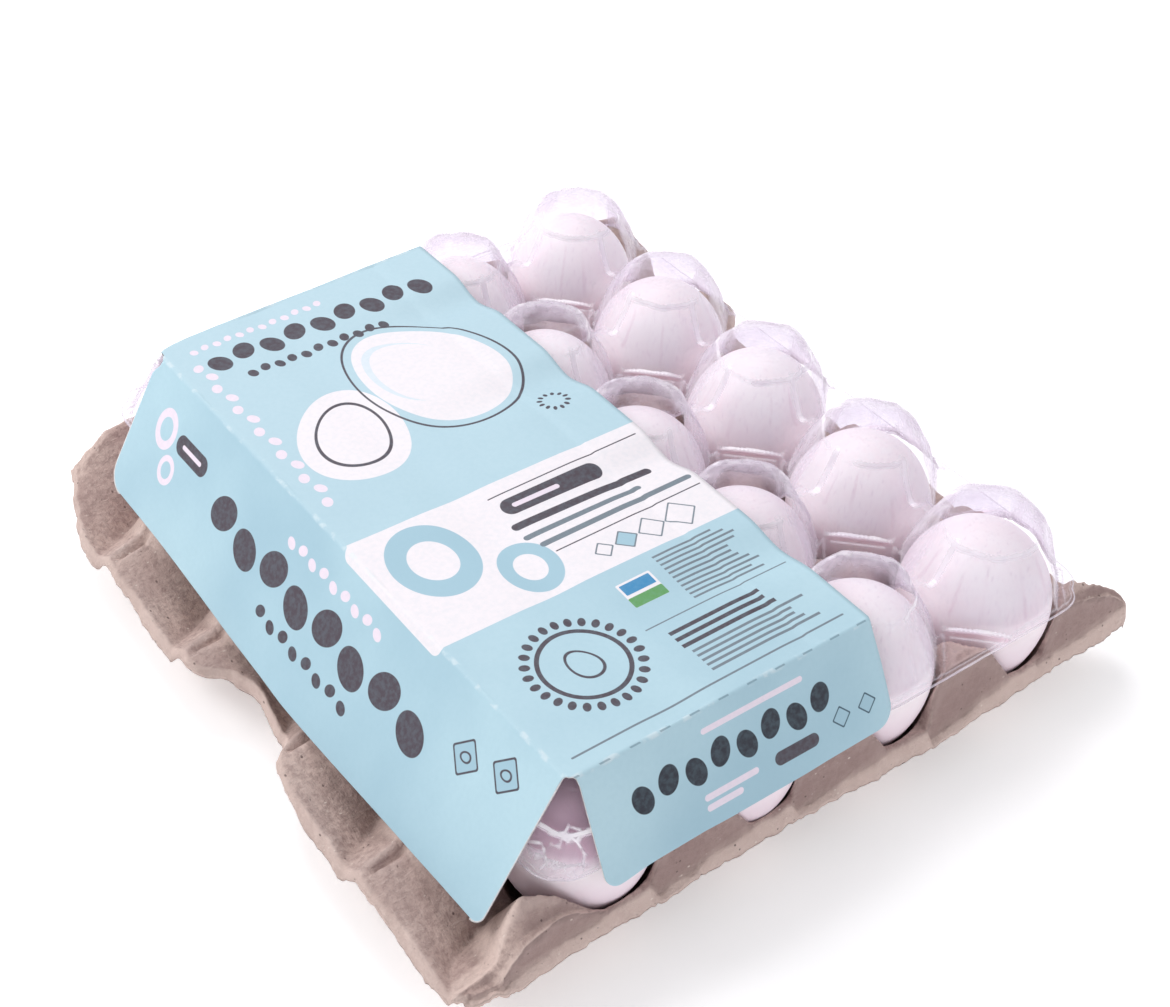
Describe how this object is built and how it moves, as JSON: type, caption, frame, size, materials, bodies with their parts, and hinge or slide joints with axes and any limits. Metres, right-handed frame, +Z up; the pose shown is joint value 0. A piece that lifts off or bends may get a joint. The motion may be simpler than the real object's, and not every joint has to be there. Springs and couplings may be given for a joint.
{
  "type": "egg carton with eggs",
  "caption": "Moulded pulp egg tray with ribbed sides and finger notches, filled with white eggs under a clear domed lid, with a folded board label over half of the lid.",
  "frame": {"origin": "on the table, in the middle of the tray", "axes": "+Z up, +X along the tray's shorter row of eggs away from the label, -Y towards the front end, which has the label's front flap"},
  "size_m": [0.2456, 0.2414, 0.0664],
  "materials": {
    "tray": "rough grey-brown moulded paper pulp with fibres and specks",
    "lid": "clear thin thermoformed sheet",
    "label": "matt coated board printed pale blue and white",
    "egg": "matt white eggshell with a faint pink cast"
  },
  "bodies": {
    "root": {"tray": "tray", "lid": "lid", "label": "label", "egg_01": "egg", "egg_02": "egg", "egg_03": "egg", "egg_04": "egg", "egg_05": "egg", "egg_06": "egg", "egg_07": "egg", "egg_08": "egg", "egg_09": "egg", "egg_10": "egg", "egg_11": "egg", "egg_12": "egg", "egg_13": "egg", "egg_14": "egg", "egg_15": "egg", "egg_16": "egg", "egg_17": "egg", "egg_18": "egg", "egg_19": "egg", "egg_20": "egg"}
  },
  "joints": []
}
